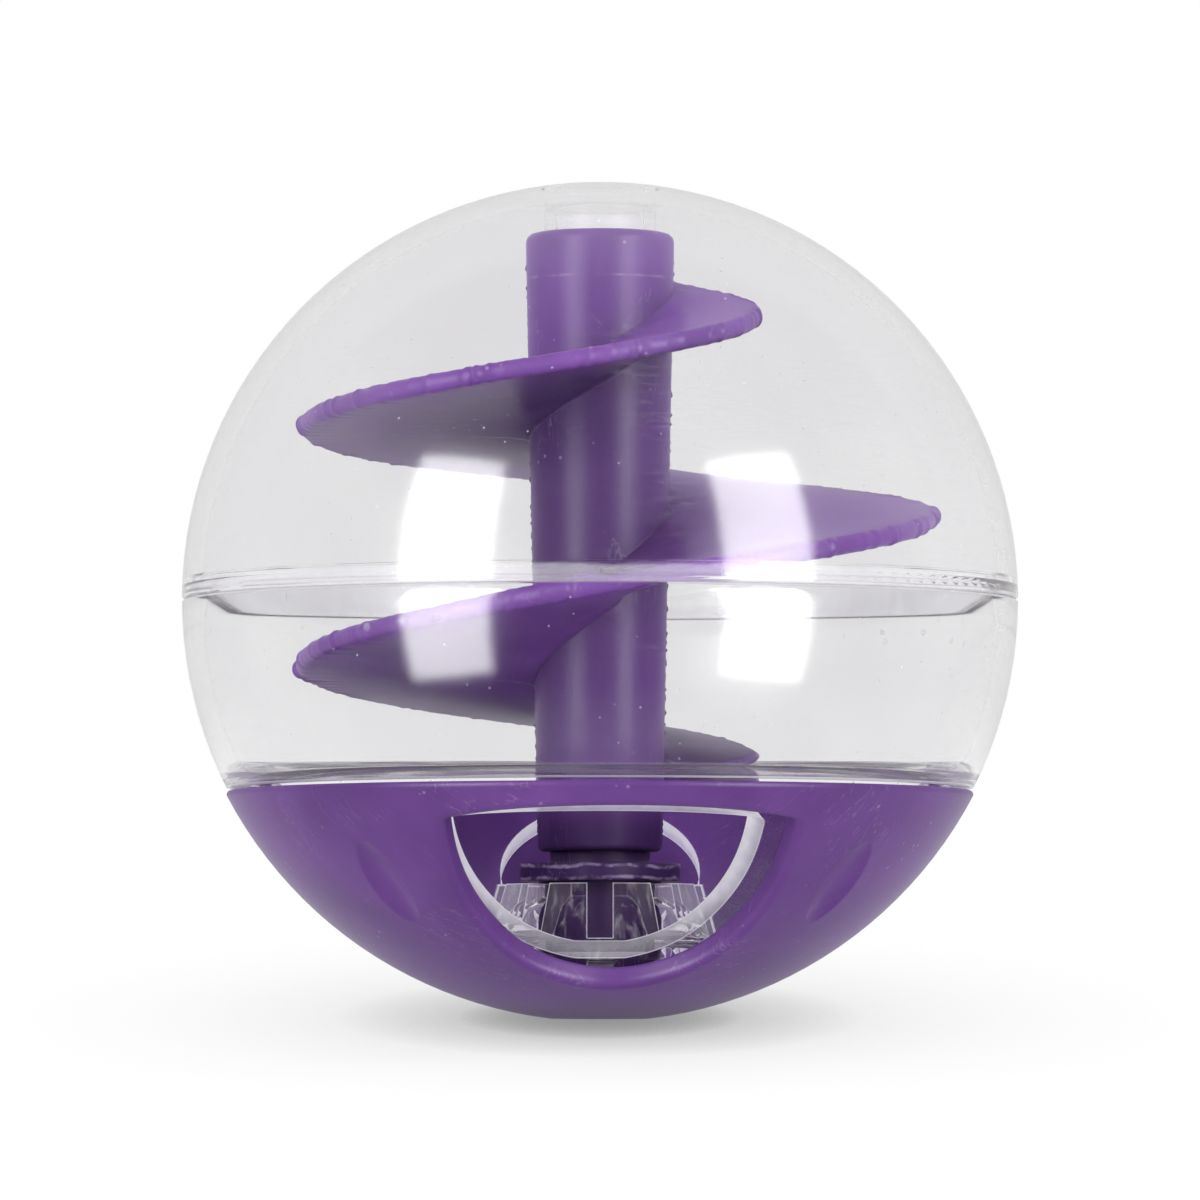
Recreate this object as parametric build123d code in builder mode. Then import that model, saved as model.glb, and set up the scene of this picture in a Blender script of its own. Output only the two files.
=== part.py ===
from build123d import *
import math
import os

# Treat dispensing ball: a clear dome and a clear bowl that snap together at the
# equator, a purple cap that turns on the bowl, and a purple spiral that stands
# between the cap and the dome. Sizes in mm, heights from the centre of the ball.

# Clear ball
ball_r = 38.0
clear_wall = 1.8
clear_inner_r = ball_r - clear_wall
edge_break = 0.25

# Lap joint at the equator
lip_wall = 1.0
neck_height = 1.8
neck_wall = 1.8
neck_outer_r = ball_r - lip_wall
collar_inner_r = neck_outer_r - neck_wall
collar_depth = 2.2
lap_gap = 0.15
bead_r = 0.35
bead_set_in = 0.1
bead_gap = 0.15
bead_count = 4
bead_arc = 30

# Purple cap
cap_proud = 0.3
cap_r = ball_r + cap_proud
cap_wall = 1.9
cap_inner_r = cap_r - cap_wall
cap_gap = 0.45
cap_turned = 3.7
rim_gap = 0.3
rim_round = 0.4
foot_r = 4.5
foot_drop = math.sqrt(cap_r**2 - foot_r**2)

# Shoulder of the bowl above the rim of the cap
shoulder_z = -17.1
shoulder_wall = 1.2
shoulder_top_z = shoulder_z + shoulder_wall
rim_z = shoulder_z - rim_gap

# Cup of the bowl inside the cap, with a flat floor cut across its round
cup_r = cap_inner_r - cap_gap
cup_wall = 1.7
cup_inner_r = cup_r - cup_wall
cup_flat_rise = 3.15
cup_bottom_z = cup_flat_rise - cup_r
cup_floor = 1.6
cup_floor_z = cup_bottom_z + cup_floor

# Outlets, as seen from the front on the inner face of their wall
cap_window_half = 15.0
cap_window_corner_drop = 2.5
cap_window_crown_drop = 1.45
cap_window_sill_rise = 2.8
cap_window_corner_r = 0.9
cap_window_edge_r = 0.7
cap_window_corner_z = rim_z - cap_window_corner_drop
cap_window_crown_z = rim_z - cap_window_crown_drop
cap_window_sill_z = cap_window_sill_rise - cap_inner_r
cup_window_half = 14.0
cup_window_corner_drop = 2.5
cup_window_crown_drop = 1.95
cup_window_sill_rise = 2.85
cup_window_corner_r = 1.4
cup_window_corner_z = shoulder_z - cup_window_corner_drop
cup_window_crown_z = shoulder_z - cup_window_crown_drop
cup_window_sill_z = cup_window_sill_rise - cup_inner_r
window_near = 0.3
window_far = 1.2
sill_steps = 8
small_hole_r = 9.2
small_hole_latitude = 47.0

# Snap fingers round the hub
finger_count = 10
finger_height = 5.3
finger_tip_z = cup_floor_z + finger_height
finger_tip_inner_r = 6.1
finger_tip_outer_r = 9.4
finger_root_outer_r = 11.0
finger_hook = 1.2
finger_wall = 1.9
finger_slot = 2.3
slot_rest = 0.3

# Stop nub under the sill of the cup
nub_width = 2.4
nub_depth = 1.7
nub_inset = 1.5
nub_height = 0.8
nub_front = math.sqrt(cup_r**2 - cup_bottom_z**2) - nub_inset

# Hub of the cap
post_gap = 0.5
post_r = finger_tip_inner_r - post_gap
hub_bore_r = 3.2
head_r = 7.3
head_wall = 1.6
head_gap = 0.3
head_z = finger_tip_z + head_gap
head_top_z = head_z + head_wall
spigot_r = 4.55
spigot_height = 6.4
spigot_top_z = head_top_z + spigot_height
spigot_chamfer = 0.5
hub_floor_z = -math.sqrt(cap_inner_r**2 - foot_r**2)

# Grip recesses of the cap
grip_offset = 46.8
grip_latitude = 43.3
grip_depth = 0.7
grip_waist = 3.7
grip_span = 29.6

# Spiral: hollow column between the hub and the crown of the dome
column_rest = 1.1
column_bottom_z = head_top_z + column_rest
column_top_gap = 2.8
column_top_z = clear_inner_r - column_top_gap
column_top_r = 6.75
column_bottom_r = 5.65
column_round = 0.8
column_foot_round = 0.6
spin_gap = 0.1
foot_bore_r = spigot_r + spin_gap
core_r = 4.3
web = 1.8

# Spigot of the dome in the top of the column
dome_spigot_r = 5.1
dome_spigot_wall = 1.2
dome_spigot_depth = 4.4
dome_spigot_z = column_top_z - dome_spigot_depth
top_bore_r = dome_spigot_r + lap_gap
top_bore_rest = 2.0
top_bore_z = dome_spigot_z - top_bore_rest

# Spiral: flight round the column, inside a flattened ball. Its turns close up towards the
# top, and it leans to the right and the rear
flight_turn_height = 22.15
flight_close_up = 2.6
flight_lean_height = 1.3
flight_lean_turn = 38.0
flight_at_side_z = 6.55
flight_start = -390.0
flight_end = 386.0
flight_sections = 27
flight_gap = 4.95
flight_half_width = clear_inner_r - flight_gap
flight_top_drop = 4.0
flight_foot_rise = 2.1
flight_top_z = column_top_z - flight_top_drop
flight_foot_z = column_bottom_z + flight_foot_rise
flight_half_height = (flight_top_z - flight_foot_z) / 2
flight_middle_z = (flight_top_z + flight_foot_z) / 2
flight_root = 2.5
flight_edge = 1.7
flight_set_in = 2.0
flight_inner_r = column_bottom_r - flight_set_in
flight_trim = 1.0
flight_reach = flight_half_width + flight_trim


def level(z):
    """Level plane at a height from the centre of the ball."""
    return Plane.XY.offset(foot_drop + z)


def axial(turn=0):
    """Upright plane through the axis that faces the front, turned about the axis."""
    side = math.radians(turn)
    return Plane(
        origin=(0, 0, foot_drop),
        x_dir=(math.cos(side), math.sin(side), 0),
        z_dir=(math.sin(side), -math.cos(side), 0),
    )


def outward(turn, latitude):
    """Plane at the centre of the ball that faces a point below the equator."""
    side = math.radians(turn)
    drop = math.radians(latitude)
    return Plane(
        origin=(0, 0, foot_drop),
        x_dir=(math.cos(side), math.sin(side), 0),
        z_dir=(
            math.sin(side) * math.cos(drop),
            -math.cos(side) * math.cos(drop),
            -math.sin(drop),
        ),
    )


def width_at(radius, z):
    """Radius of a sphere's circle at a height from its centre."""
    return math.sqrt(radius**2 - z**2)


def window(half, corner_z, crown_z, sill_z, corner_r, wall_r, distance):
    """Half-moon on a wall of radius wall_r, cast from the centre onto an upright plane."""
    sill_r = (half**2 + (corner_z - sill_z) ** 2) / (2 * (corner_z - sill_z))
    sill_centre_z = sill_z + sill_r
    corner_angle = math.atan2(corner_z - sill_centre_z, half)
    sweep_angle = math.pi + 2 * corner_angle

    def cast(x, z):
        scale = distance / math.sqrt(wall_r**2 - x**2 - z**2)
        return (x * scale, z * scale)

    sill = []
    for step in range(sill_steps + 1):
        angle = corner_angle - sweep_angle * step / sill_steps
        sill.append(cast(sill_r * math.cos(angle), sill_centre_z + sill_r * math.sin(angle)))
    with BuildSketch() as outline:
        with BuildLine():
            Spline(*sill)
            ThreePointArc(sill[-1], cast(0, crown_z), sill[0])
        make_face()
        fillet(outline.vertices(), corner_r * distance / width_at(wall_r, corner_z))
    return outline.sketch


# Upper dome
with BuildPart() as upper_dome:
    with BuildSketch(axial()):
        with BuildLine():
            RadiusArc((width_at(ball_r, edge_break), edge_break), (0, ball_r), -ball_r)
            Line((0, ball_r), (0, clear_inner_r))
            RadiusArc((0, clear_inner_r), (clear_inner_r, 0), clear_inner_r)
            Polyline(
                (clear_inner_r, 0),
                (ball_r - edge_break, 0),
                (width_at(ball_r, edge_break), edge_break),
            )
        make_face()
    revolve(axis=Axis.Z)
    # Rebate of the rim over the neck, with the groove for its beads
    with BuildSketch(level(0)):
        Circle(neck_outer_r + lap_gap)
    extrude(amount=neck_height + lap_gap, mode=Mode.SUBTRACT)
    with BuildSketch(axial()):
        with Locations((neck_outer_r - bead_set_in, neck_height / 2)):
            Circle(bead_r + bead_gap)
    revolve(axis=Axis.Z, mode=Mode.SUBTRACT)
    # Hollow spigot that stands in the top of the spiral
    with BuildSketch(level(dome_spigot_z)):
        Circle(dome_spigot_r)
        Circle(dome_spigot_r - dome_spigot_wall, mode=Mode.SUBTRACT)
    extrude(amount=width_at(clear_inner_r, dome_spigot_r) - dome_spigot_z + clear_wall / 2)
upper_dome.part.label = "upper_dome"

# Lower bowl
with BuildPart() as lower_bowl:
    with BuildSketch(axial()):
        with BuildLine():
            Line(
                (width_at(ball_r, shoulder_z), shoulder_z),
                (width_at(cup_r, shoulder_z), shoulder_z),
            )
            RadiusArc(
                (width_at(cup_r, shoulder_z), shoulder_z),
                (width_at(cup_r, cup_bottom_z), cup_bottom_z),
                cup_r,
            )
            Polyline(
                (width_at(cup_r, cup_bottom_z), cup_bottom_z),
                (finger_root_outer_r - finger_wall, cup_bottom_z),
                (finger_root_outer_r - finger_wall, cup_floor_z),
                (finger_tip_outer_r - finger_wall, finger_tip_z - finger_hook - finger_wall / 2),
                (finger_tip_inner_r, finger_tip_z - finger_hook),
                (finger_tip_inner_r, finger_tip_z),
                (finger_tip_outer_r, finger_tip_z),
                (finger_root_outer_r, cup_floor_z),
                (width_at(cup_inner_r, cup_floor_z), cup_floor_z),
            )
            RadiusArc(
                (width_at(cup_inner_r, cup_floor_z), cup_floor_z),
                (width_at(cup_inner_r, shoulder_top_z), shoulder_top_z),
                -cup_inner_r,
            )
            Line(
                (width_at(cup_inner_r, shoulder_top_z), shoulder_top_z),
                (width_at(clear_inner_r, shoulder_top_z), shoulder_top_z),
            )
            RadiusArc(
                (width_at(clear_inner_r, shoulder_top_z), shoulder_top_z),
                (width_at(clear_inner_r, collar_depth), -collar_depth),
                -clear_inner_r,
            )
            Polyline(
                (width_at(clear_inner_r, collar_depth), -collar_depth),
                (collar_inner_r, -collar_depth),
                (collar_inner_r, neck_height),
                (neck_outer_r, neck_height),
                (neck_outer_r, 0),
                (ball_r - edge_break, 0),
                (width_at(ball_r, edge_break), -edge_break),
            )
            RadiusArc(
                (width_at(ball_r, edge_break), -edge_break),
                (width_at(ball_r, shoulder_z), shoulder_z),
                ball_r,
            )
        make_face()
    revolve(axis=Axis.Z)
    # Snap beads on the neck
    for bead in range(bead_count):
        with BuildSketch(axial(bead * 360 / bead_count)):
            with Locations((neck_outer_r - bead_set_in, neck_height / 2)):
                Circle(bead_r)
        revolve(axis=Axis.Z, revolution_arc=bead_arc)
    # Slots between the fingers
    with BuildSketch(level(cup_floor_z + slot_rest)):
        with PolarLocations(0, finger_count, start_angle=-90):
            with Locations((finger_root_outer_r / 2, 0)):
                Rectangle(finger_root_outer_r, finger_slot)
    extrude(amount=finger_tip_z - cup_floor_z, mode=Mode.SUBTRACT)
    # Large outlet at the front, cut towards the centre of the ball
    for reach in (window_near, window_far):
        with BuildSketch(axial().offset(ball_r * reach)):
            add(
                window(
                    cup_window_half,
                    cup_window_corner_z,
                    cup_window_crown_z,
                    cup_window_sill_z,
                    cup_window_corner_r,
                    cup_inner_r,
                    ball_r * reach,
                )
            )
    loft(ruled=True, mode=Mode.SUBTRACT)
    # Small outlet at the back
    with BuildSketch(outward(180, small_hole_latitude).offset(cup_inner_r - cup_wall)):
        Circle(small_hole_r)
    extrude(amount=3 * cup_wall, mode=Mode.SUBTRACT)
    # Stop nub under the sill
    with BuildSketch(level(cup_bottom_z - nub_height)):
        with Locations((0, nub_depth / 2 - nub_front)):
            Rectangle(nub_width, nub_depth)
    extrude(amount=nub_height + cup_floor / 2)
lower_bowl.part.label = "lower_bowl"

# Base cap
with BuildPart() as grip:
    with BuildSketch(Plane.YZ):
        with BuildLine():
            ThreePointArc((-grip_span / 2, 0), (0, grip_waist), (grip_span / 2, 0))
            Line((grip_span / 2, 0), (-grip_span / 2, 0))
        make_face()
    revolve(axis=Axis.Y)

with BuildPart() as base_cap:
    with BuildSketch(axial()):
        with BuildLine():
            RadiusArc(
                (width_at(cap_r, rim_z) - rim_round, rim_z),
                (width_at(cap_r, rim_z - rim_round), rim_z - rim_round),
                rim_round,
            )
            RadiusArc(
                (width_at(cap_r, rim_z - rim_round), rim_z - rim_round),
                (foot_r, -foot_drop),
                cap_r,
            )
            Polyline((foot_r, -foot_drop), (0, -foot_drop), (0, hub_floor_z), (foot_r, hub_floor_z))
            RadiusArc((foot_r, hub_floor_z), (width_at(cap_inner_r, rim_z), rim_z), -cap_inner_r)
            Line((width_at(cap_inner_r, rim_z), rim_z), (width_at(cap_r, rim_z) - rim_round, rim_z))
        make_face()
    revolve(axis=Axis.Z)
    # Outlet, cut towards the centre of the ball
    for reach in (window_near, window_far):
        with BuildSketch(axial(cap_turned).offset(ball_r * reach)):
            add(
                window(
                    cap_window_half,
                    cap_window_corner_z,
                    cap_window_crown_z,
                    cap_window_sill_z,
                    cap_window_corner_r,
                    cap_inner_r,
                    ball_r * reach,
                )
            )
    loft(ruled=True, mode=Mode.SUBTRACT)
    on_outside = [
        edge
        for edge in base_cap.edges(Select.LAST)
        if all((edge @ place - Vector(0, 0, foot_drop)).length > cap_r - cap_wall / 2 for place in (0, 0.5, 1))
    ]
    fillet(on_outside, cap_window_edge_r)
    # Grip recesses on both sides of the outlet and opposite
    for turn in (grip_offset, -grip_offset, 180 + grip_offset, 180 - grip_offset):
        with Locations(outward(cap_turned + turn, grip_latitude).offset(cap_r + grip_waist - grip_depth)):
            add(grip.part, mode=Mode.SUBTRACT)
    # Hub with the head that the fingers hold and the spigot that carries the spiral
    with BuildSketch(axial()):
        with BuildLine():
            Polyline(
                (hub_bore_r, hub_floor_z - cap_wall / 2),
                (post_r, hub_floor_z - cap_wall / 2),
                (post_r, head_z),
                (head_r, head_z),
                (head_r, head_top_z),
                (spigot_r, head_top_z),
                (spigot_r, spigot_top_z - spigot_chamfer),
                (spigot_r - spigot_chamfer, spigot_top_z),
                (hub_bore_r, spigot_top_z),
                close=True,
            )
        make_face()
    revolve(axis=Axis.Z)
base_cap.part.label = "base_cap"

# Spiral
with BuildPart() as flight:
    for station in range(flight_sections):
        turn = flight_start + (flight_end - flight_start) * station / (flight_sections - 1)
        turns = turn / 360
        lean = flight_lean_height * math.cos(math.radians(turn - flight_lean_turn))
        flight_z = flight_at_side_z + flight_turn_height * turns - flight_close_up * turns**2 + lean
        with BuildSketch(axial(turn)):
            with BuildLine():
                Polyline(
                    (flight_inner_r, flight_z + flight_root / 2),
                    (flight_reach, flight_z + flight_edge / 2),
                    (flight_reach, flight_z - flight_edge / 2),
                    (flight_inner_r, flight_z - flight_root / 2),
                    close=True,
                )
            make_face()
    loft()
    # Outer edge on the flattened ball
    with BuildSketch(axial()):
        with BuildLine():
            EllipticalCenterArc(
                (0, flight_middle_z),
                flight_half_width,
                flight_half_height,
                start_angle=-90,
                arc_size=180,
            )
            Line((0, flight_top_z), (0, flight_foot_z))
        make_face()
    revolve(axis=Axis.Z, mode=Mode.INTERSECT)

with BuildPart() as spiral_auger:
    with BuildSketch(axial()):
        with BuildLine():
            Polyline(
                (column_top_r - column_round, column_top_z),
                (0, column_top_z),
                (0, column_bottom_z),
                (column_bottom_r - column_foot_round, column_bottom_z),
            )
            RadiusArc(
                (column_bottom_r - column_foot_round, column_bottom_z),
                (column_bottom_r, column_bottom_z + column_foot_round),
                -column_foot_round,
            )
            Line(
                (column_bottom_r, column_bottom_z + column_foot_round),
                (column_top_r, column_top_z - column_round),
            )
            RadiusArc(
                (column_top_r, column_top_z - column_round),
                (column_top_r - column_round, column_top_z),
                -column_round,
            )
        make_face()
    revolve(axis=Axis.Z)
    add(flight.part)
    # Bores for the spigots, with a web between them that stands on the spigot of the cap
    for bore_r, bore_z, bore_end_z in (
        (foot_bore_r, column_bottom_z, spigot_top_z),
        (core_r, spigot_top_z + web, top_bore_z),
        (top_bore_r, top_bore_z, column_top_z),
    ):
        with BuildSketch(level(bore_z)):
            Circle(bore_r)
        extrude(amount=bore_end_z - bore_z, mode=Mode.SUBTRACT)
spiral_auger.part.label = "spiral_auger"

os.makedirs("parts", exist_ok=True)
for piece in (upper_dome, lower_bowl, base_cap, spiral_auger):
    export_step(piece.part, f"parts/{piece.part.label}.step")
    print(piece.part.label, round(piece.part.volume), len(piece.part.solids()), piece.part.is_valid)
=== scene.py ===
import math

import bmesh
import bpy
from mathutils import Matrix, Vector


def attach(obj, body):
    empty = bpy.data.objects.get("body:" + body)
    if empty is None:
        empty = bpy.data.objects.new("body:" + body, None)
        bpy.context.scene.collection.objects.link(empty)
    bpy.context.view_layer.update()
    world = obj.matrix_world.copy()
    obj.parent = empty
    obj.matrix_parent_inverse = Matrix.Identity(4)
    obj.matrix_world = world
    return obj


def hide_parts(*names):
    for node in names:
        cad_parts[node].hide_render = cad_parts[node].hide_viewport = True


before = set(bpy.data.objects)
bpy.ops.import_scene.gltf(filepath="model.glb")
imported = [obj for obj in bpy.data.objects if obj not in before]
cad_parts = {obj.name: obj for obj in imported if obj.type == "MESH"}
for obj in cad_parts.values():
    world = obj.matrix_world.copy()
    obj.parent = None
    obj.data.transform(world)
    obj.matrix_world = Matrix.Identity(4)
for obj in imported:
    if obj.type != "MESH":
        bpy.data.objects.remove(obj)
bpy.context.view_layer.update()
scene = bpy.context.scene
ballCentreZ = 0.038035  # height of the ball's centre over its foot
ballCentre = Vector((0.0, 0.0, ballCentreZ))
print("packed ball loaded")


class Sock:  # a node socket that takes part in Python sums
    def __init__(self, tree, socket):
        self.tree = tree
        self.socket = socket

    def maths(self, operation, *values):
        node = self.tree.nodes.new("ShaderNodeMath")
        node.operation = operation
        for slot, value in zip(node.inputs, values):
            if isinstance(value, Sock):
                self.tree.links.new(value.socket, slot)
            else:
                slot.default_value = value
        return Sock(self.tree, node.outputs[0])

    def __add__(self, other):
        return self.maths("ADD", self, other)

    def __sub__(self, other):
        return self.maths("SUBTRACT", self, other)

    def __rsub__(self, other):
        return self.maths("SUBTRACT", other, self)

    def __mul__(self, other):
        return self.maths("MULTIPLY", self, other)

    def __truediv__(self, other):
        return self.maths("DIVIDE", self, other)

    def __pow__(self, other):
        return self.maths("POWER", self, other)

    def __rpow__(self, other):
        return self.maths("POWER", other, self)

    def __gt__(self, other):
        return self.maths("GREATER_THAN", self, other)

    def __lt__(self, other):
        return self.maths("LESS_THAN", self, other)

    def __abs__(self):
        return self.maths("ABSOLUTE", self)

    def atLeast(self, other):
        return self.maths("MAXIMUM", self, other)

    def atMost(self, other):
        return self.maths("MINIMUM", self, other)

    def sine(self):
        return self.maths("SINE", self)

    def cosine(self):
        return self.maths("COSINE", self)

    __radd__ = __add__


class Nodes:  # one node tree, emptied and filled from here
    def __init__(self, tree):
        self.tree = tree
        tree.nodes.clear()

    def node(self, kind, settings=None, sockets=None, out=0):
        made = self.tree.nodes.new(kind)
        for name, value in (settings or {}).items():
            if name == "stops":
                ramp = made.color_ramp.elements
                while len(ramp) < len(value):
                    ramp.new(0.5)
                for element, (place, colour) in zip(ramp, value):
                    element.position = place
                    element.color = colour
            else:
                setattr(made, name, value)
        for name, value in (sockets or {}).items():
            if isinstance(value, Sock):
                self.tree.links.new(value.socket, made.inputs[name])
            else:
                made.inputs[name].default_value = value
        return Sock(self.tree, made.outputs[out]) if len(made.outputs) else made

    def ease(self, value, low, high, start=0.0, end=1.0):  # smooth step from start to end
        return self.node(
            "ShaderNodeMapRange",
            {"interpolation_type": "SMOOTHSTEP"},
            {"Value": value, "From Min": low, "From Max": high, "To Min": start, "To Max": end},
        )

    def fade(self, value, low, high):  # smooth step from 1 down to 0
        return self.ease(value, low, high, 1.0, 0.0)

    def noise(self, place, scale, detail=2.0):
        return self.node("ShaderNodeTexNoise", {}, {"Vector": place, "Scale": scale, "Detail": detail})

    def noiseAlong(self, way, detail=2.0):  # noise along one line
        return self.node(
            "ShaderNodeTexNoise",
            {"noise_dimensions": "1D"},
            {"W": way, "Scale": 1.0, "Detail": detail},
        )

    def veins(self, place, scale, width):  # fine lines where a noise crosses its middle
        return self.fade(abs(self.noise(place, scale, 3.0) - 0.5), 0.0, width)

    def drawnOut(self, place, scale, turn=(0.0, 0.0, 0.0)):  # a place stretched, for streaks
        return self.node("ShaderNodeMapping", {}, {"Vector": place, "Rotation": turn, "Scale": scale})

    def blend(self, factor, first, second):
        return self.node("ShaderNodeMix", {"data_type": "RGBA"}, {0: factor, 6: first, 7: second}, 2)

    def fromCentre(self):  # the point's place, measured from the middle of the ball
        place = self.node("ShaderNodeTexCoord", out="Object")
        middle = (0.0, 0.0, -ballCentreZ)
        return self.node("ShaderNodeMapping", {}, {"Vector": place, "Location": middle})

    def axis(self, place, name):
        return self.node("ShaderNodeSeparateXYZ", {}, {0: place}, name)

    def axes(self, place):
        return [self.axis(place, name) for name in "XYZ"]


def newFinish(name):
    material = bpy.data.materials.new(name)
    material.use_nodes = True
    return material, Nodes(material.node_tree)


# places on the ball are in metres from its middle, reach is the distance from there
clearLook = {
    "tint": (0.790, 0.783, 0.797, 1.0),  # grey of the outer skin, thinner in smudges and at the rim
    "thin": (0.845, 0.841, 0.847, 1.0),
    "rim": (0.890, 0.887, 0.892, 1.0),
    "rimAslant": (0.6, 0.82),
    "inner": (0.985, 0.984, 0.986, 1.0),
    "tintReach": (0.0371, 0.0377),
    "body": (0.48, 0.46, 0.50, 1.0),
    "bodyDepth": 10.0,
    "lampTint": (0.93, 0.93, 0.94, 1.0),
    "ior": 1.05,
    "roughness": 0.015,
    "coatIor": 1.5,
    "coatRoughness": 0.12,
    "coatReach": (0.0371, 0.0378),
    "innerCoat": 0.03,
    "frost": (0.86, 0.85, 0.89, 1.0),  # white of the cut edges
    "frostIor": 1.4,
    "frostClear": 0.3,
    "seam": (0.42, 0.37, 0.43, 1.0),
    "ledge": (0.17, 0.12, 0.23, 1.0),
    "frontGlow": (0.14, 0.135, 0.15, 1.0),  # painted glow: emission standing in for light led along the wall to its edge
    "rearGlow": (0.42, 0.41, 0.44, 1.0),
    "specks": 520.0,
    "speckSize": 0.06,
    "dropSize": 0.2,
    "dropHeight": -0.0024,
    "wear": {"speck": 0.35, "hair": 0.03, "rubbed": 0.04, "drop": 0.3, "smudge": 0.02},
}
cupEdges = {
    "wallReach": 0.0335,  # the cup's wall lies beyond this
    "cutTop": -0.0178,
    "sill": (-0.0315, -0.026),
    "cutDepth": (0.0344, 0.0359),
    "fingerRadius": 0.0125,
    "fingerTop": -0.0245,
    "fingerHollow": 0.0088,
    "tipHeight": -0.0265,
    "tip": 0.3,
    "streak": 0.22,
    "side": 0.05,
    "glintWidth": 0.0002,
    "glint": 0.25,
    "wallGlint": 0.5,
    "fingerGlint": 0.6,
}
skinMarks = {
    "lapTop": (0.00135, 0.00185),
    "lapReach": 0.0352,
    "lap": 0.10,
    "seamWidth": (0.00004, 0.00013),
    "seamReach": 0.0366,
    "seam": 0.35,
    "bossRadius": 0.0068,
    "bossHeight": (0.0331, 0.0347),
    "boss": 0.16,
    "ledgeTop": (-0.01605, -0.01575),
    "ledgeFoot": -0.0172,
    "ledgeReach": 0.0370,
    "cornerTop": -0.01695,
    "cornerReach": 0.0365,
    # how white the painted highlight on the ledge's corner is
    "corner": 0.8,
}


def cutEdges(f, place, radius, reach):  # white on the edges and fingers of the cup, and the colour of the painted glow on them
    x, y, z = f.axes(place)
    facing = f.node("ShaderNodeNewGeometry", out="Normal")
    nx, ny, nz = f.axes(facing)
    outward = abs(x * nx + y * ny + z * nz) / reach
    sideways = abs(x * ny - y * nx) / radius
    wall = reach > cupEdges["wallReach"]
    streak = f.noise(place, 900.0, 4.0)
    # walls that stand across the skin are the cut edges of the outlets, whitest on the inside
    cut = f.fade(outward, 0.45, 0.75) * (z < cupEdges["cutTop"]) * wall
    rear = y > 0.0
    sill = f.ease(z, *cupEdges["sill"], 0.3, 1.0) * f.ease(nz, -0.75, -0.4, 0.2, 1.0)
    cut = cut * f.ease(reach, *cupEdges["cutDepth"], 1.0, 0.6) * rear.atLeast(sill)
    # painted glow: the frost of the cup emits light, more at the rear
    glow = f.blend(rear, clearLook["frontGlow"], clearLook["rearGlow"])
    finger = (radius < cupEdges["fingerRadius"]) * (z < cupEdges["fingerTop"])
    tall = f.drawnOut(place, (1.0, 1.0, 0.12))
    drawn = f.ease(f.noise(tall, 1500.0, 3.0), 0.5, 0.75) * cupEdges["streak"]
    tips = f.ease(nz, 0.75, 0.95) * (z > cupEdges["tipHeight"]) * cupEdges["tip"]
    sides = f.ease(sideways, 0.5, 0.85)
    # painted highlight: every moulded edge gets a thin white line where it would catch a line of light
    rounded = f.node("ShaderNodeBevel", {"samples": 4}, {"Radius": cupEdges["glintWidth"]})
    turned = f.node("ShaderNodeVectorMath", {"operation": "DOT_PRODUCT"}, {0: rounded, 1: facing}, "Value")
    rims = finger * (radius > cupEdges["fingerHollow"])
    glint = cupEdges["glint"] + wall * cupEdges["wallGlint"] + rims * cupEdges["fingerGlint"]
    glint = f.fade(turned, 0.88, 0.99) * glint
    fingers = finger * (tips + drawn * (1.0 - sides) + sides * cupEdges["side"])
    return cut * (0.75 + streak * 0.5) + fingers + glint, glow


def seamAndLedge(f, place, radius, reach):  # white and colour of the lap, the seam, the boss and the shoulder
    z = f.axis(place, "Z")
    # the lap at the equator is two walls thick, and the parting line shows under it
    wander = (f.noise(place, 420.0, 4.0) - 0.5) * 0.0009
    lap = (z > 0.0) * f.fade(z + wander, *skinMarks["lapTop"]) * (reach > skinMarks["lapReach"])
    lap = lap * (0.35 + f.noise(place, 700.0, 4.0) * 1.3)
    line = f.fade(abs(z), *skinMarks["seamWidth"]) * (reach > skinMarks["seamReach"])
    low, high = skinMarks["bossHeight"]
    boss = (radius < skinMarks["bossRadius"]) * (z > low) * (z < high)
    # the shoulder over the cap is a thick ledge seen edge on, coloured dark, with a painted highlight along its lower
    # corner
    onLedge = z > skinMarks["ledgeFoot"]
    ledge = f.fade(z, *skinMarks["ledgeTop"]) * onLedge * (reach > skinMarks["ledgeReach"])
    drawn = f.drawnOut(place, (0.05, 0.05, 1.0))
    ledge = ledge * (0.35 + f.ease(f.noise(drawn, 2600.0), 0.4, 0.65) * 0.4)
    # painted highlight: the ledge's lower corner is drawn white
    corner = (z < skinMarks["cornerTop"]) * onLedge * (reach > skinMarks["cornerReach"])
    white = lap * skinMarks["lap"] + line * skinMarks["seam"] + boss * skinMarks["boss"]
    white = white + ledge * (1.0 - corner) + corner * skinMarks["corner"]
    colour = f.blend(line, clearLook["frost"], clearLook["seam"])
    return white, f.blend(ledge * 2.0 * (1.0 - corner), colour, clearLook["ledge"])


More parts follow.
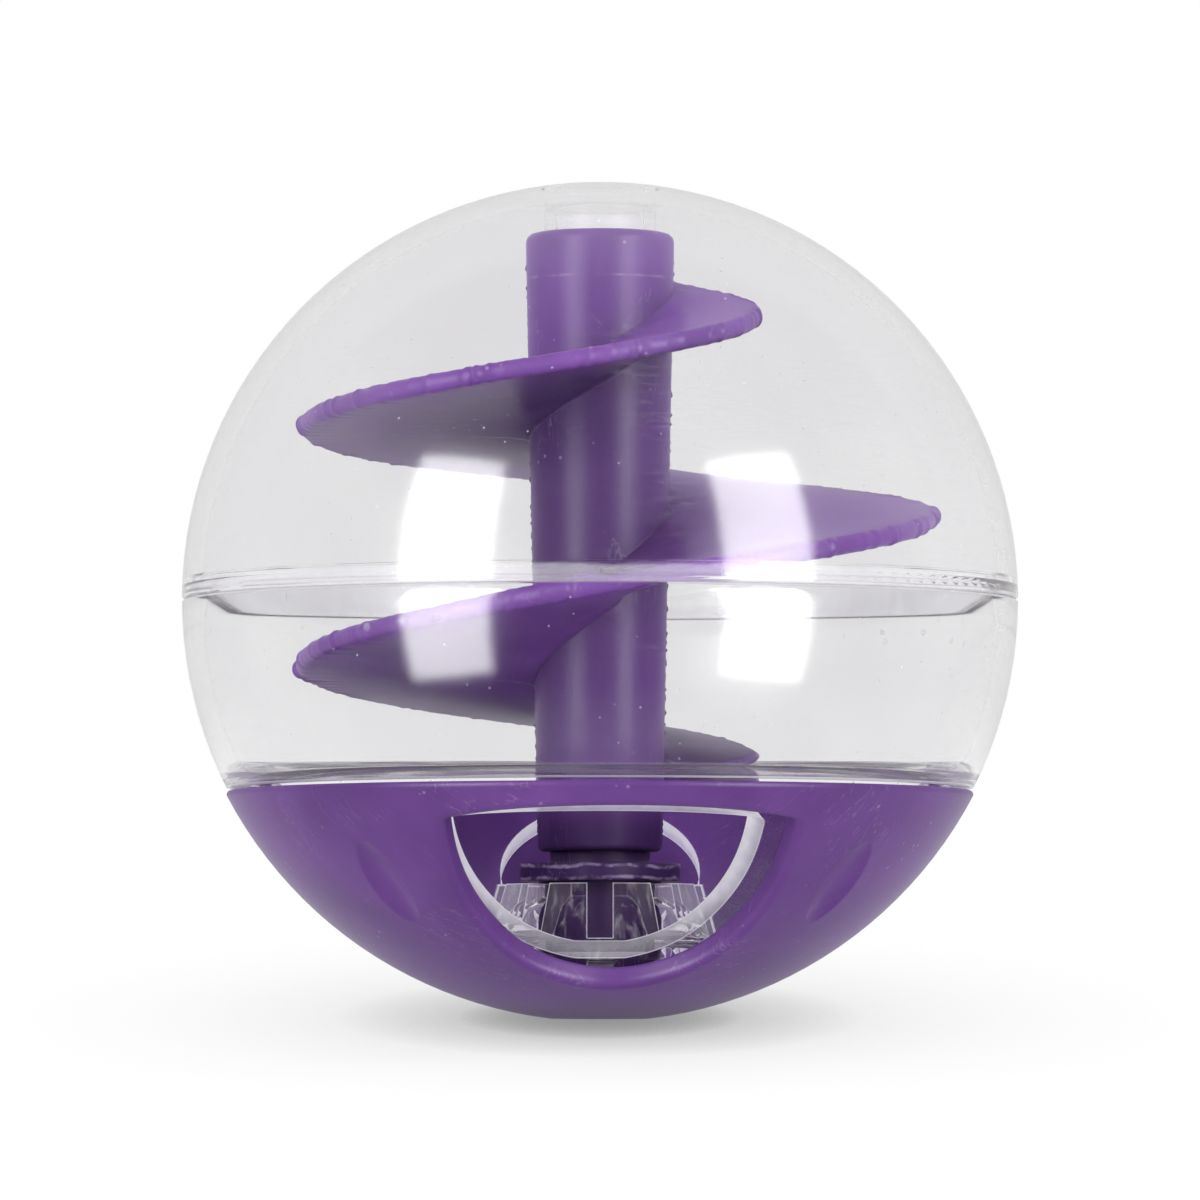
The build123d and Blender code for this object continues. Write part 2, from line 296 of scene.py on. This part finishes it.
def clearPlastic(name, edges):
    material, f = newFinish(name)
    wear = clearLook["wear"]
    place = f.fromCentre()
    x, y, z = f.axes(place)
    radius = (x * x + y * y) ** 0.5
    reach = (x * x + y * y + z * z) ** 0.5
    haze = f.noise(place, 55.0, 3.0)
    smudge = f.noise(place, 38.0, 5.0)
    # hairline scratches run any way over the skin, and rubbed streaks lie level round the ball
    hair = f.veins(f.drawnOut(place, (1.0, 9.0, 1.0), (0.4, 0.9, 0.3)), 160.0, 0.006)
    rubbed = f.veins(f.drawnOut(place, (1.0, 1.0, 10.0)), 90.0, 0.02) * f.ease(smudge, 0.5, 0.62)
    # specks are anywhere, and drops of flash sit below the seam
    grid = {"Vector": place, "Scale": clearLook["specks"]}
    cells = f.node("ShaderNodeTexVoronoi", {}, grid)
    picked = f.node("ShaderNodeTexVoronoi", {}, grid, "Color")
    first, second = (f.node("ShaderNodeSeparateColor", {}, {0: picked}, part) for part in ("Red", "Green"))
    speck = (cells < clearLook["speckSize"]) * (first > 0.62)
    drop = (cells < clearLook["dropSize"]) * (second > 0.6)
    drop = drop * f.fade(abs(z - clearLook["dropHeight"]), 0.0002, 0.0026)
    drop = drop * f.ease(f.noise(place, 70.0), 0.5, 0.6)
    white = speck * wear["speck"] + hair * wear["hair"] + rubbed * wear["rubbed"] + drop * wear["drop"]
    white = white + f.ease(smudge, 0.5, 0.75) * wear["smudge"]
    colour = clearLook["frost"]
    glow = (0.0, 0.0, 0.0, 1.0)
    if edges:
        marks, glow = cutEdges(f, place, radius, reach)
    else:
        marks, colour = seamAndLedge(f, place, radius, reach)
    # the grey sits in the outer skin, less of it at the rim, so that the inner walls do not show as rings
    aslant = f.node("ShaderNodeLayerWeight", {}, {"Blend": 0.5}, "Facing")
    tint = f.blend(f.ease(smudge, 0.3, 0.7), clearLook["tint"], clearLook["thin"])
    tint = f.blend(f.ease(aslant, *clearLook["rimAslant"]), tint, clearLook["rim"])
    tint = f.blend(f.ease(reach, *clearLook["tintReach"]), clearLook["inner"], tint)
    glass = f.node(
        "ShaderNodeBsdfPrincipled",
        {},
        {
            "Base Color": tint,
            "Roughness": clearLook["roughness"] + haze * 0.02 + hair * 0.04,
            "IOR": clearLook["ior"],
            "Transmission Weight": 1.0,
            "Coat Weight": f.ease(reach, *clearLook["coatReach"], clearLook["innerCoat"], 1.0),
            "Coat Roughness": clearLook["coatRoughness"],
            "Coat IOR": clearLook["coatIor"],
        },
    )
    frost = f.node(
        "ShaderNodeBsdfPrincipled",
        {},
        {
            "Base Color": colour,
            "Roughness": 0.3 + haze * 0.2,
            "IOR": clearLook["frostIor"],
            "Transmission Weight": clearLook["frostClear"],
            # the emission is the painted glow of the cup's edges, black on the skin
            "Emission Color": glow,
            "Emission Strength": 1.0,
        },
    )
    skin = f.node("ShaderNodeMixShader", {}, {0: white + marks, 1: glass, 2: frost})
    through = f.node("ShaderNodeBsdfTransparent", {}, {"Color": clearLook["lampTint"]})
    shadow = f.node("ShaderNodeLightPath", out="Is Shadow Ray")
    mixed = f.node("ShaderNodeMixShader", {}, {0: shadow, 1: skin, 2: through})
    body = f.node(
        "ShaderNodeVolumeAbsorption",
        {},
        {"Color": clearLook["body"], "Density": clearLook["bodyDepth"]},
    )
    f.node("ShaderNodeOutputMaterial", {}, {"Surface": mixed, "Volume": body})
    return material


purpleLook = {
    "light": (0.196, 0.074, 0.342, 1.0),
    "dark": (0.128, 0.043, 0.240, 1.0),
    # dark purple used only as painted shade
    "paintedShade": (0.046, 0.018, 0.082, 1.0),
    "pale": (0.430, 0.330, 0.540, 1.0),  # stretched skin along moulded edges
    "roughness": 0.36,
    "ior": 1.46,
    "specular": 0.22,
    "shade": 0.045,  # how far the painted shade in the plastic's own hollows reaches
    "shadeRange": (0.2, 0.85),
    "insideReach": (0.0345, 0.0363),  # painted shade inside the cap, where little light gets down
    "insideHeight": (-0.0215, -0.0165),
    "inside": 0.85,
    "scratch": 0.3,
    "nick": 0.45,
    "grain": 2600.0,
    "bump": 0.15,
    "bumpDepth": 0.0001,
}


def purplePlastic(name, paleEdge, softEdge):
    material, f = newFinish(name)
    place = f.fromCentre()
    cloud = f.noise(place, 90.0, 4.0)
    grain = f.noise(place, purpleLook["grain"], 2.0)
    fleck = f.noise(place, 700.0, 3.0)
    colour = f.node(
        "ShaderNodeValToRGB",
        {"stops": [(0.3, purpleLook["dark"]), (0.7, purpleLook["light"])]},
        {"Fac": cloud},
    )
    # painted shade: ambient occlusion darkens the colour towards the dark purple in the plastic's hollows
    bare = f.node(
        "ShaderNodeAmbientOcclusion",
        {"samples": 6, "only_local": True},
        {"Distance": purpleLook["shade"]},
        "AO",
    )
    colour = f.blend(f.ease(bare, *purpleLook["shadeRange"]), purpleLook["paintedShade"], colour)
    # painted shade: the colour is darkened inside the cap
    z = f.axis(place, "Z")
    reach = f.node("ShaderNodeVectorMath", {"operation": "LENGTH"}, {0: place}, "Value")
    inside = f.fade(reach, *purpleLook["insideReach"]) * f.fade(z, *purpleLook["insideHeight"])
    colour = f.blend(inside * purpleLook["inside"], colour, purpleLook["paintedShade"])
    # fine scratches and nicks in patches
    scratch = f.veins(f.drawnOut(place, (1.0, 8.0, 1.0), (0.7, 0.2, 1.1)), 210.0, 0.012)
    scratch = scratch * f.ease(f.noise(place, 130.0), 0.5, 0.62) * purpleLook["scratch"]
    nick = f.node("ShaderNodeTexVoronoi", {}, {"Vector": place, "Scale": 640.0}) < 0.11
    nick = nick * f.ease(f.noise(place, 160.0), 0.52, 0.6) * purpleLook["nick"]
    pale = paleEdge(f, place) * f.ease(fleck, 0.35, 0.65) + scratch + nick
    colour = f.blend(pale, colour, purpleLook["pale"])
    rounded = f.node("ShaderNodeBevel", {"samples": 6}, {"Radius": softEdge})
    bump = f.node(
        "ShaderNodeBump",
        {},
        {
            "Strength": purpleLook["bump"],
            "Distance": purpleLook["bumpDepth"],
            "Height": grain + cloud * 0.6,
            "Normal": rounded,
        },
    )
    skin = f.node(
        "ShaderNodeBsdfPrincipled",
        {},
        {
            "Base Color": colour,
            "Roughness": purpleLook["roughness"] + (cloud - 0.5) * 0.14 + pale * 0.15,
            "IOR": purpleLook["ior"],
            "Specular IOR Level": purpleLook["specular"],
            "Normal": bump,
        },
    )
    f.node("ShaderNodeOutputMaterial", {}, {"Surface": skin})
    return material


hubEdges = {"radius": (0.0068, 0.0076), "heights": (-0.0243, -0.0254), "width": (0.00006, 0.00022), "white": 0.75}


def hubFlash(f, place):  # torn flash along the edges of the hub's snap head
    x, y, z = f.axes(place)
    radius = (x * x + y * y) ** 0.5
    stray = (f.noise(place, 420.0, 3.0) - 0.5) * 0.0009
    upper, lower = (f.fade(abs(z - height + stray), *hubEdges["width"]) for height in hubEdges["heights"])
    inner, outer = hubEdges["radius"]
    return (upper + lower) * (radius > inner) * (radius < outer) * hubEdges["white"]


flightEdges = {
    "halfWidth": 0.03125,
    "halfHeight": 0.0251,
    "middle": 0.0043,
    "columnReach": 0.0085,
    "edge": 0.04,
    "parting": 0.3,
    "ring": 0.3,
    "ringHeight": 0.0292,
    "ringRadius": 0.0072,
}


def flightFlash(f, place):  # thin flash on the outer edge, along the mould's parting plane and round the column
    x, y, z = f.axes(place)
    radius = (x * x + y * y) ** 0.5
    lift = (z - flightEdges["middle"]) / flightEdges["halfHeight"]
    edge = f.ease(radius / flightEdges["halfWidth"] + lift * lift * 0.5, 0.985, 1.0) * flightEdges["edge"]
    parting = f.fade(abs(y), 0.00005, 0.0002) * flightEdges["parting"]
    ring = f.fade(abs(z - flightEdges["ringHeight"]), 0.00004, 0.00016)
    ring = ring * (radius < flightEdges["ringRadius"]) * flightEdges["ring"]
    return edge * (radius > flightEdges["columnReach"]) + parting + ring


clearSkin = clearPlastic("clearSkin", False)
clearCup = clearPlastic("clearCup", True)
capPurple = purplePlastic("capPurple", hubFlash, 0.0005)
spiralPurple = purplePlastic("spiralPurple", flightFlash, 0.0003)
for name, material in (("upper_dome", clearSkin), ("base_cap", capPurple)):
    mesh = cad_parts[name].data
    mesh.materials.clear()
    mesh.materials.append(material)
print("finishes done")


bowl = {
    "cupTop": -0.0155,  # below this and within this reach the bowl is the cup inside the cap
    "cupReach": 0.0361,
    "collarStep": -0.0022,  # the step under the collar, and where its slope runs out
    "collarSlope": 0.0012,
    "neckRadius": 0.0352,
    "lipInset": 0.0009,  # how far the outlet's cut edge slopes in at its corners
    "lipTop": -0.0178,
    "lipFoot": -0.0325,
    "lipFront": -0.011,
    "lipReach": (0.0335, 0.0348),
    "lipMiddle": 0.006,
}


def sortFaces(work, centre):  # the cup has a finish of its own
    for face in work.faces:
        spots = [vert.co - centre for vert in face.verts]
        cup = all(spot.length < bowl["cupReach"] and spot.z < bowl["cupTop"] for spot in spots)
        face.material_index = 1 if cup else 0
        face.smooth = True


def slopeCollar(work, centre):  # the step under the collar runs out as a slope
    for vert in work.verts:
        spot = vert.co - centre
        onStep = abs(spot.z - bowl["collarStep"]) < 0.00002
        if onStep and abs(math.hypot(spot.x, spot.y) - bowl["neckRadius"]) < 0.00005:
            vert.co.z = centre.z + bowl["collarSlope"]


def slopeLip(work, centre):  # the cut edge of the front outlet slopes, so that it shows from the front
    wallReach, innerReach = bowl["lipReach"]
    moved = set()
    for face in work.faces:
        spot = face.calc_center_median() - centre
        across = abs(face.normal.dot(spot.normalized())) < 0.3
        if across and spot.y < bowl["lipFront"] and spot.z < bowl["lipTop"] and spot.length > wallReach:
            moved.update(vert for vert in face.verts if (vert.co - centre).length < innerReach)
    for vert in moved:
        spot = vert.co - centre
        rise = max(0.0, min(1.0, (spot.z - bowl["lipFoot"]) / (bowl["lipTop"] - bowl["lipFoot"])))
        side = 1.0 if spot.x > 0 else -1.0
        inset = bowl["lipInset"] * rise * min(1.0, abs(spot.x) / bowl["lipMiddle"])
        turned = Vector((spot.x - side * inset, spot.y, spot.z))
        turned.y = -math.sqrt(spot.length ** 2 - turned.x ** 2 - turned.z ** 2)
        vert.co = centre + turned
    return len(moved)


def buildBowl():
    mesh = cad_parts["lower_bowl"].data.copy()
    mesh.name = "bowl"
    mesh.materials.clear()
    mesh.materials.append(clearSkin)
    mesh.materials.append(clearCup)
    work = bmesh.new()
    work.from_mesh(mesh)
    bmesh.ops.remove_doubles(work, verts=work.verts, dist=0.000001)
    sortFaces(work, ballCentre)
    slopeCollar(work, ballCentre)
    moved = slopeLip(work, ballCentre)
    work.to_mesh(mesh)
    work.free()
    mesh.set_sharp_from_angle(angle=math.radians(25.0))
    piece = bpy.data.objects.new("bowl", mesh)
    scene.collection.objects.link(piece)
    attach(piece, "bowl")
    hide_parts("lower_bowl")
    print("bowl done,", moved, "points of its lip sloped")


buildBowl()

# sizes of the spiral in millimetres from the middle of the ball, turns in degrees from its right side
spiral = {
    "Start": -390.0,
    "End": 386.0,
    "Side height": 6.55,
    "Turn height": 22.15,
    "Close up": 2.6,
    "Lean": 1.3,
    "Lean turn": 38.0,
    "Half width": 30.9,
    "Half height": 24.8,
    "Lower half": 22.6,
    "Middle": 4.3,
    "Root radius": 3.65,
    "Root": 2.5,
    "Edge": 1.7,
    "Column": 6.2,
    "Root round": 0.55,
    "Ragged": 0.6,
}
spiralCount = {"along": 1043, "around": 41}
columnProfile = [
    (0.0, -15.8), (4.3, -15.8), (4.3, 27.0), (5.25, 27.0), (5.25, 33.4), (5.95, 33.4), (6.35, 33.29),
    (6.64, 33.0), (6.75, 32.6), (5.65, -22.3), (5.57, -22.6), (5.35, -22.82), (5.05, -22.9),
    (4.65, -22.9), (4.65, -17.6), (0.0, -17.6),
]  # radius and height of each corner
fin = {"points": 420, "footRadius": 5.6, "widens": 1.02, "low": -22.1, "tall": 54.6, "halfWidth": 0.16, "tears": 85.0}
millimetre = 0.001


def lathe(name, profile, steps):
    mesh = bpy.data.meshes.new(name)
    work = bmesh.new()
    rings = []
    for radius, height in profile:
        z = ballCentreZ + height * millimetre
        if radius == 0.0:
            rings.append([work.verts.new((0.0, 0.0, z))])
            continue
        size = radius * millimetre
        turns = [math.tau * step / steps for step in range(steps)]
        rings.append([work.verts.new((math.cos(turn) * size, math.sin(turn) * size, z)) for turn in turns])
    for lower, upper in zip(rings, rings[1:]):
        for step in range(steps):
            after = (step + 1) % steps
            corners = [lower[step % len(lower)], lower[after % len(lower)]]
            corners += [upper[after % len(upper)], upper[step % len(upper)]]
            work.faces.new(list(dict.fromkeys(corners)))
    bmesh.ops.recalc_face_normals(work, faces=work.faces)
    work.to_mesh(mesh)
    work.free()
    return mesh


def flashFin(f, size, way):  # torn fin up the column where the two mould halves met
    strip = f.node(
        "GeometryNodeMeshGrid",
        {},
        {"Size X": 1.0, "Size Y": 1.0, "Vertices X": fin["points"], "Vertices Y": 4},
    )
    flat = f.node("GeometryNodeInputPosition")
    along = f.axis(flat, "X") + 0.5
    # 0 and 1 on one foot of the fin, a third on its crest, two thirds on the other foot
    around = f.axis(flat, "Y") + 0.5
    crest = f.fade(abs(around - 0.3333), 0.0, 0.1)
    foot = f.fade(abs(around - 0.6667), 0.0, 0.1) - f.ease(abs(around - 0.5), 0.4, 0.5)
    whole = f.fade(abs(along - 0.5), 0.4988, 0.4999)
    torn = f.noiseAlong(along * fin["tears"] + way * 9.0, 3.0)
    tall = ((torn - 0.36) * 1.1).atLeast(0.05) * size["Ragged"]
    radius = fin["footRadius"] + along * fin["widens"] + crest * tall * whole
    spot = f.node(
        "ShaderNodeCombineXYZ",
        {},
        {
            "X": radius * (way * millimetre),
            "Y": foot * whole * (fin["halfWidth"] * millimetre),
            "Z": (along * fin["tall"] + fin["low"]) * millimetre + ballCentreZ,
        },
    )
    raised = f.node("GeometryNodeSetPosition", {}, {"Geometry": strip, "Position": spot})
    return f.node("GeometryNodeMergeByDistance", {}, {"Geometry": raised, "Distance": 0.000004})


def flightTree(material):
    tree = bpy.data.node_groups.new("spiralFlight", "GeometryNodeTree")
    f = Nodes(tree)
    tree.interface.new_socket("Column", in_out="INPUT", socket_type="NodeSocketGeometry")
    for name in spiral:
        if name != "Column":
            tree.interface.new_socket(name, in_out="INPUT", socket_type="NodeSocketFloat")
    tree.interface.new_socket("Column size", in_out="INPUT", socket_type="NodeSocketFloat")
    tree.interface.new_socket("Spiral", in_out="OUTPUT", socket_type="NodeSocketGeometry")
    given = tree.nodes.new("NodeGroupInput")
    size = {name: Sock(tree, given.outputs["Column size" if name == "Column" else name]) for name in spiral}
    sheet = f.node(
        "GeometryNodeMeshGrid",
        {},
        {"Size X": 1.0, "Size Y": 1.0, "Vertices X": spiralCount["along"], "Vertices Y": spiralCount["around"]},
    )
    flat = f.node("GeometryNodeInputPosition")
    along = f.axis(flat, "X") + 0.5
    middle = f.axis(flat, "Y")
    across = 1.0 - abs(middle * 2.0)  # 0 at the root, 1 on the outer edge
    side = middle.maths("SIGN", middle)
    # the first and the last row close the two ends
    last = 1.0 / (spiralCount["along"] - 1)
    inner = ((along - last) / (1.0 - 2.0 * last)).atLeast(0.0).atMost(1.0)
    body = (along > 0.5 * last) * (along < 1.0 - 0.5 * last)
    turn = size["Start"] + inner * (size["End"] - size["Start"])
    part = turn / 360.0
    angle = turn * (math.pi / 180.0)
    lean = angle - size["Lean turn"] * (math.pi / 180.0)
    height = size["Side height"] + part * size["Turn height"] - part * part * size["Close up"]
    height = height + size["Lean"] * lean.cosine()
    # uneven outer edge, with spikes of flash where the two mould halves met
    fine = f.noiseAlong(turn * 0.6, 3.0)
    coarse = f.noiseAlong(turn * 0.035)
    spike = f.fade(abs(angle.sine()), 0.0, 0.16) * (fine - 0.42) * 3.0
    burr = (fine - 0.55).atLeast(0.0) * 2.0
    ragged = (burr + (coarse - 0.5) + spike) * size["Ragged"]
    # the edge follows a flattened ball, flatter in its lower half
    above = height > size["Middle"]
    lift = (height - size["Middle"]) / (size["Lower half"] + above * (size["Half height"] - size["Lower half"]))
    girth = (1.0 - lift * lift).atLeast(0.03) ** 0.5
    reach = size["Half width"] * girth + ragged
    # from the root out along a tapering blade and round its nose
    nose = size["Edge"] * 0.5
    closed = (across / 0.05).atMost(1.0)
    run = ((across - 0.05) / 0.70).atLeast(0.0).atMost(1.0)
    turnOver = ((across - 0.75) / 0.25).atLeast(0.0) * (math.pi / 2.0)
    radius = size["Root radius"] + (reach - nose - size["Root radius"]) * run
    radius = radius + nose * turnOver.sine()
    beyond = ((radius - size["Column"]) / size["Root round"]).atLeast(0.0)
    foot = size["Root round"] * (2.718 ** (0.0 - beyond))
    half = size["Root"] * 0.5 + (nose - size["Root"] * 0.5) * run + foot
    half = half * (1.0 + (fine - 0.5) * run ** 24.0 * 0.35)
    half = half * closed * turnOver.cosine() * body
    level = height + side * half
    spot = f.node(
        "ShaderNodeCombineXYZ",
        {},
        {
            "X": radius * angle.cosine() * millimetre,
            "Y": radius * angle.sine() * millimetre,
            "Z": level * millimetre + ballCentreZ,
        },
    )
    flight = f.node("GeometryNodeSetPosition", {}, {"Geometry": sheet, "Position": spot})
    flight = f.node("GeometryNodeMergeByDistance", {}, {"Geometry": flight, "Distance": 0.000004})
    joined = tree.nodes.new("GeometryNodeJoinGeometry")
    tree.links.new(given.outputs["Column"], joined.inputs[0])
    tree.links.new(flight.socket, joined.inputs[0])
    for way in (1.0, -1.0):
        tree.links.new(flashFin(f, size, way).socket, joined.inputs[0])
    whole = f.node("GeometryNodeRealizeInstances", {}, {"Geometry": Sock(tree, joined.outputs[0])})
    whole = f.node("GeometryNodeSetMaterial", {}, {"Geometry": whole, "Material": material})
    f.node("NodeGroupOutput", {}, {0: whole})
    return tree


def buildSpiral():
    column = lathe("spiralColumn", columnProfile, 128)
    maker = bpy.data.objects.new("spiralMaker", column)
    scene.collection.objects.link(maker)
    modifier = maker.modifiers.new("flight", "NODES")
    modifier.node_group = flightTree(spiralPurple)
    for item in modifier.node_group.interface.items_tree:
        name = "Column" if item.name == "Column size" else item.name
        if item.in_out == "INPUT" and item.socket_type == "NodeSocketFloat":
            modifier[item.identifier] = spiral[name]
    bpy.context.view_layer.update()
    ready = maker.evaluated_get(bpy.context.evaluated_depsgraph_get())
    mesh = bpy.data.meshes.new_from_object(ready)
    mesh.name = "spiral"
    maker.modifiers.remove(modifier)
    bpy.data.objects.remove(maker)
    work = bmesh.new()
    work.from_mesh(mesh)
    bmesh.ops.dissolve_degenerate(work, dist=0.000001, edges=work.edges)
    bmesh.ops.recalc_face_normals(work, faces=work.faces)
    work.to_mesh(mesh)
    work.free()
    mesh.shade_smooth()
    mesh.set_sharp_from_angle(angle=math.radians(50.0))
    piece = bpy.data.objects.new("spiral", mesh)
    scene.collection.objects.link(piece)
    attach(piece, "spiral")
    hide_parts("spiral_auger")
    print("spiral done,", len(mesh.polygons), "faces")


buildSpiral()


studio = {
    "cameraDrop": math.radians(2.5),
    "cameraDistance": 1.2,
    "frameWidth": 0.1091,
    "floorSlope": 0.167,
    "floorTouch": 0.0049,
    "floorHalf": 0.3,
    "floorFade": (0.075, 0.16),
    "floorPaint": (0.74, 0.74, 0.74, 1.0),
    "floorNear": (0.0022, 0.007),  # how far the painted shadow darkens the floor close under the ball
    "floorDrawn": 0.05,
    # the painted shadow's occlusion is tilted this way, to stretch it to the front
    "shadowTilt": (0.0, 0.95, 0.3),
    "fillAbove": 0.50,
    "fillBelow": 0.16,
    "boxTurn": {"softboxLeft": math.radians(-42.0), "softboxRight": math.radians(46.0)},
    "boxRise": math.radians(6.5),
    "boxDistance": 0.6,
    "boxSize": (0.27, 0.62),
    "boxPower": 1.9,  # what lights the colours
    "gleamPower": 8.0,  # what shows as a reflection
}


def buildCamera():
    data = bpy.data.cameras.new("photoCamera")
    data.sensor_width = 36.0
    data.lens = 36.0 * studio["cameraDistance"] / studio["frameWidth"]
    data.clip_start = 0.01
    data.clip_end = 50.0
    camera = bpy.data.objects.new("photoCamera", data)
    scene.collection.objects.link(camera)
    aim = Vector((0.0, math.cos(studio["cameraDrop"]), math.sin(studio["cameraDrop"])))
    camera.location = ballCentre - aim * studio["cameraDistance"]
    camera.rotation_euler = aim.to_track_quat("-Z", "Y").to_euler()
    scene.camera = camera


def seenRays(f):  # camera and clear plastic see the white studio
    names = ("Is Camera Ray", "Is Transmission Ray")
    camera, through = (f.node("ShaderNodeLightPath", out=name) for name in names)
    return camera.atLeast(through)


def buildWorld():
    world = bpy.data.worlds.new("studioWorld")
    world.use_nodes = True
    scene.world = world
    f = Nodes(world.node_tree)
    way = f.node("ShaderNodeTexCoord", out="Generated")
    # glossy plastic mirrors the white backdrop behind it and the dim room in front
    mirrored = f.ease(f.axis(way, "Y"), -0.3, 0.35, 0.12, 0.75)
    fill = f.ease(f.axis(way, "Z"), -0.3, 0.6, studio["fillBelow"], studio["fillAbove"])
    fill = fill * f.ease(f.axis(way, "Y"), -0.8, 0.8, 0.75, 1.25)  # most of it falls from above and behind
    glossy = f.node("ShaderNodeLightPath", out="Is Glossy Ray")
    level = fill + glossy * (mirrored - fill)
    strength = level.atLeast(seenRays(f))
    light = f.node("ShaderNodeBackground", {}, {"Color": (1, 1, 1, 1), "Strength": strength})
    f.node("ShaderNodeOutputWorld", {}, {"Surface": light})


def buildFloor():
    half = studio["floorHalf"]
    slope = studio["floorSlope"]
    touch = studio["floorTouch"]
    sides = ((-half, -half), (half, -half), (half, half), (-half, half))
    corners = [(x, y, slope * (y - touch)) for x, y in sides]
    mesh = bpy.data.meshes.new("paleFloor")
    mesh.from_pydata(corners, [], [(0, 1, 2, 3)])
    floor = bpy.data.objects.new("paleFloor", mesh)
    scene.collection.objects.link(floor)
    material, f = newFinish("paleFloor")
    glossy = f.node("ShaderNodeLightPath", out="Is Glossy Ray")
    seen = seenRays(f).atLeast(glossy)
    # painted shadow: ambient occlusion darkens the floor close under the ball, and an occlusion tilted to the back
    # draws the shadow out to the front
    sampled = {"samples": 8}
    close, near = (
        f.node("ShaderNodeAmbientOcclusion", sampled, {"Distance": far}, "AO") for far in studio["floorNear"]
    )
    cast = {"Distance": studio["floorDrawn"], "Normal": studio["shadowTilt"]}
    drawn = f.node("ShaderNodeAmbientOcclusion", sampled, cast, "AO")
    paint = f.node("ShaderNodeBsdfDiffuse", {}, {"Color": studio["floorPaint"]})
    shade = (drawn * 0.97 + 0.03) ** 0.2 * (close * 0.25 + near * 0.2 + 0.55) * 1.04
    glow = f.node("ShaderNodeEmission", {}, {"Color": (1, 1, 1, 1), "Strength": shade})
    lit = f.node("ShaderNodeMixShader", {}, {0: seen, 1: paint, 2: glow})
    place = f.node("ShaderNodeTexCoord", out="Object")
    away = f.node("ShaderNodeVectorMath", {"operation": "LENGTH"}, {0: place}, "Value")
    behind = f.node("ShaderNodeNewGeometry", out="Backfacing")
    faded = behind.atLeast(f.ease(away, *studio["floorFade"]))
    bare = f.node("ShaderNodeBsdfTransparent")
    mixed = f.node("ShaderNodeMixShader", {}, {0: faded, 1: lit, 2: bare})
    f.node("ShaderNodeOutputMaterial", {}, {"Surface": mixed})
    mesh.materials.append(material)


def buildSoftboxes():
    for name, turn in studio["boxTurn"].items():
        rise = studio["boxRise"]
        out = Vector((math.sin(turn) * math.cos(rise), -math.cos(turn) * math.cos(rise), math.sin(rise)))
        for use, power, behind in (("Light", "boxPower", 0.02), ("Gleam", "gleamPower", 0.0)):
            data = bpy.data.lights.new(name + use, "AREA")
            data.shape = "RECTANGLE"
            data.size, data.size_y = studio["boxSize"]
            data.energy = studio[power]
            lamp = bpy.data.objects.new(name + use, data)
            scene.collection.objects.link(lamp)
            lamp.location = ballCentre + out * (studio["boxDistance"] + behind)
            lamp.rotation_euler = (-out).to_track_quat("-Z", "Y").to_euler()
            lamp.visible_camera = False
            lamp.visible_transmission = False
            lamp.visible_diffuse = use == "Light"
            lamp.visible_glossy = use == "Gleam"


buildCamera()
buildWorld()
buildFloor()
buildSoftboxes()
scene.view_settings.view_transform = "Standard"
print("studio done")
